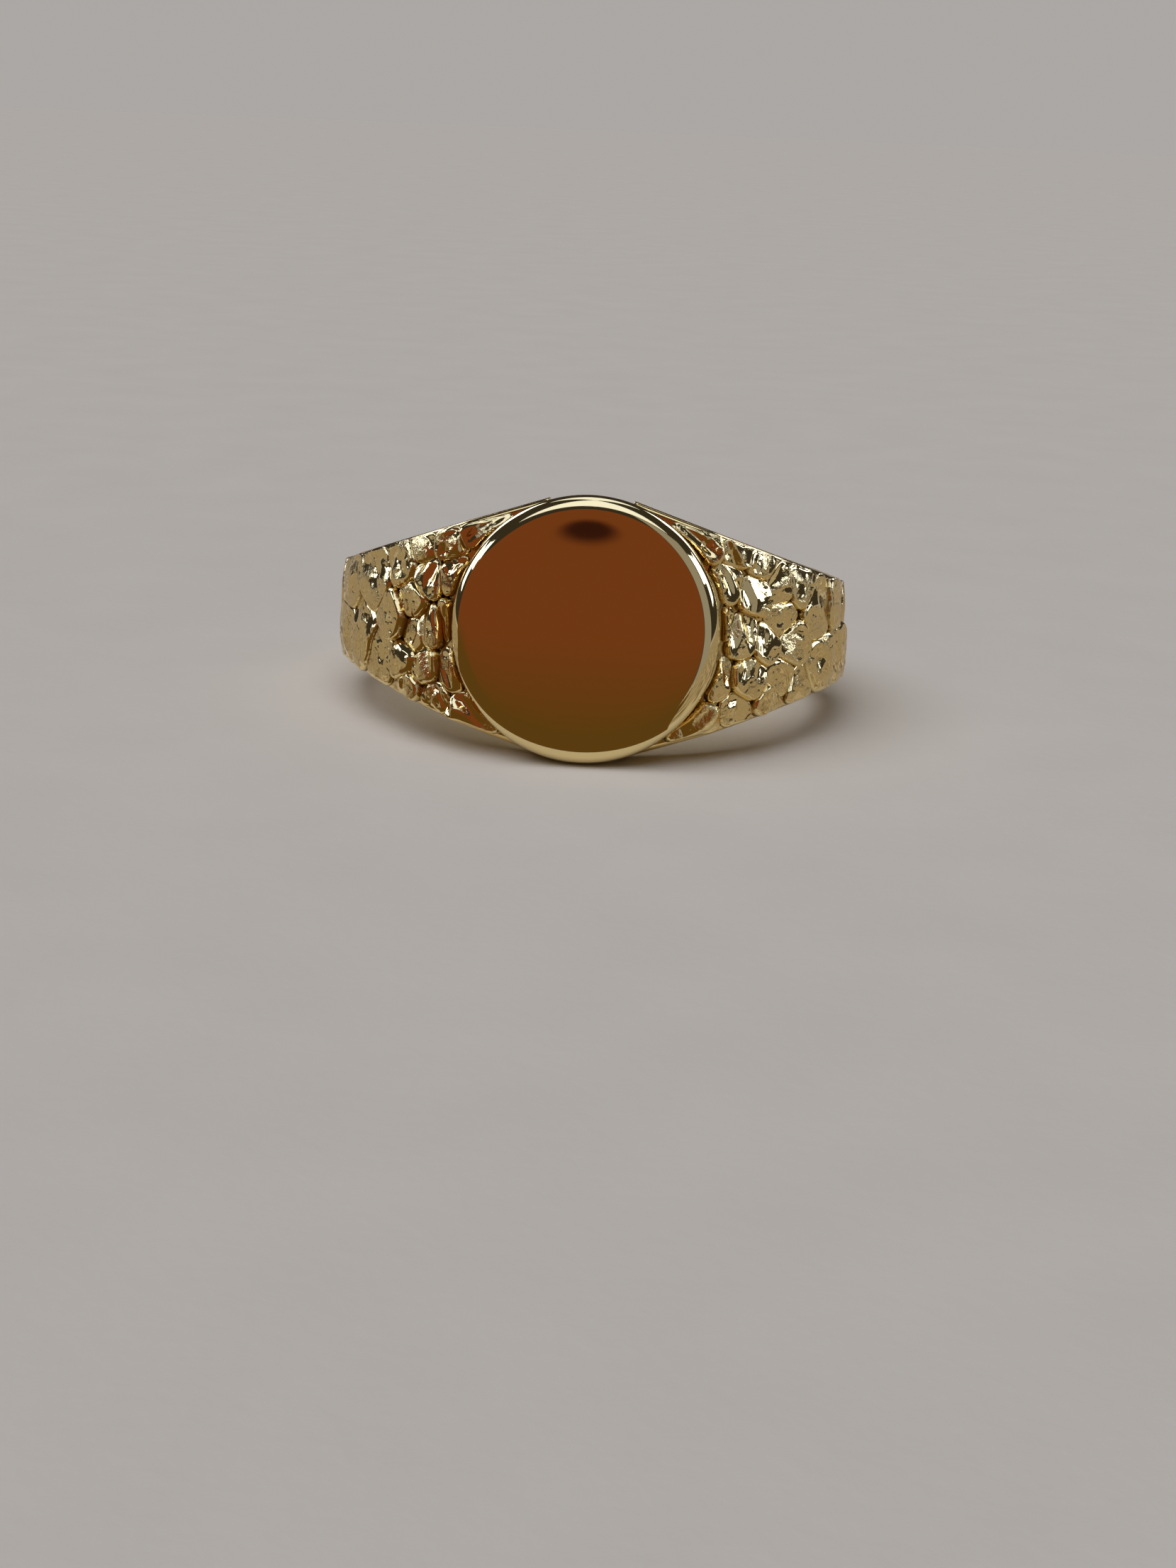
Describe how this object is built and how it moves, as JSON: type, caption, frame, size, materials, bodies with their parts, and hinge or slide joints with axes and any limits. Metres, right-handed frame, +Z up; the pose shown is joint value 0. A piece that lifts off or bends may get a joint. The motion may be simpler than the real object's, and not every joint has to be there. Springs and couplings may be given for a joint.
{
  "type": "signet ring",
  "caption": "Finger ring lying on its side, with a round polished signet face, textured nugget shoulders and a plain domed hoop.",
  "frame": {"origin": "middle of the footprint, on the surface that the ring lies on", "axes": "+Z up; the signet face looks towards -Y and slightly up; +X runs across the face to the right-hand shoulder"},
  "size_m": [0.0226, 0.0232, 0.0107],
  "materials": {
    "polished_gold": "mirror polished yellow gold",
    "nugget_gold": "bright melted yellow gold",
    "hoop_gold": "polished yellow gold",
    "gold_solder": "polished gold solder"
  },
  "bodies": {
    "root": {"signet_plate": "polished_gold", "head_collar": "hoop_gold", "head_liner": "hoop_gold", "left_shoulder": "hoop_gold", "right_shoulder": "hoop_gold", "shank": "hoop_gold", "plate_solder": "gold_solder", "liner_solder": "gold_solder", "collar_solder": "gold_solder", "shank_solder": "gold_solder", "left_nugget_01": "nugget_gold", "left_nugget_02": "nugget_gold", "left_nugget_03": "nugget_gold", "left_nugget_04": "nugget_gold", "left_nugget_05": "nugget_gold", "left_nugget_06": "nugget_gold", "left_nugget_07": "nugget_gold", "left_nugget_08": "nugget_gold", "left_nugget_09": "nugget_gold", "left_nugget_10": "nugget_gold", "left_nugget_11": "nugget_gold", "left_nugget_12": "nugget_gold", "left_nugget_13": "nugget_gold", "left_nugget_14": "nugget_gold", "left_nugget_15": "nugget_gold", "left_nugget_16": "nugget_gold", "left_nugget_17": "nugget_gold", "left_nugget_18": "nugget_gold", "left_nugget_19": "nugget_gold", "left_nugget_20": "nugget_gold", "left_nugget_21": "nugget_gold", "left_nugget_22": "nugget_gold", "left_nugget_23": "nugget_gold", "left_nugget_24": "nugget_gold", "right_nugget_01": "nugget_gold", "right_nugget_02": "nugget_gold", "right_nugget_03": "nugget_gold", "right_nugget_04": "nugget_gold", "right_nugget_05": "nugget_gold", "right_nugget_06": "nugget_gold", "right_nugget_07": "nugget_gold", "right_nugget_08": "nugget_gold", "right_nugget_09": "nugget_gold", "right_nugget_10": "nugget_gold", "right_nugget_11": "nugget_gold", "right_nugget_12": "nugget_gold", "right_nugget_13": "nugget_gold", "right_nugget_14": "nugget_gold", "right_nugget_15": "nugget_gold", "right_nugget_16": "nugget_gold", "right_nugget_17": "nugget_gold", "right_nugget_18": "nugget_gold", "right_nugget_19": "nugget_gold", "right_nugget_20": "nugget_gold", "right_nugget_21": "nugget_gold", "right_nugget_22": "nugget_gold", "right_nugget_23": "nugget_gold", "right_nugget_24": "nugget_gold", "right_nugget_25": "nugget_gold"}
  },
  "joints": []
}
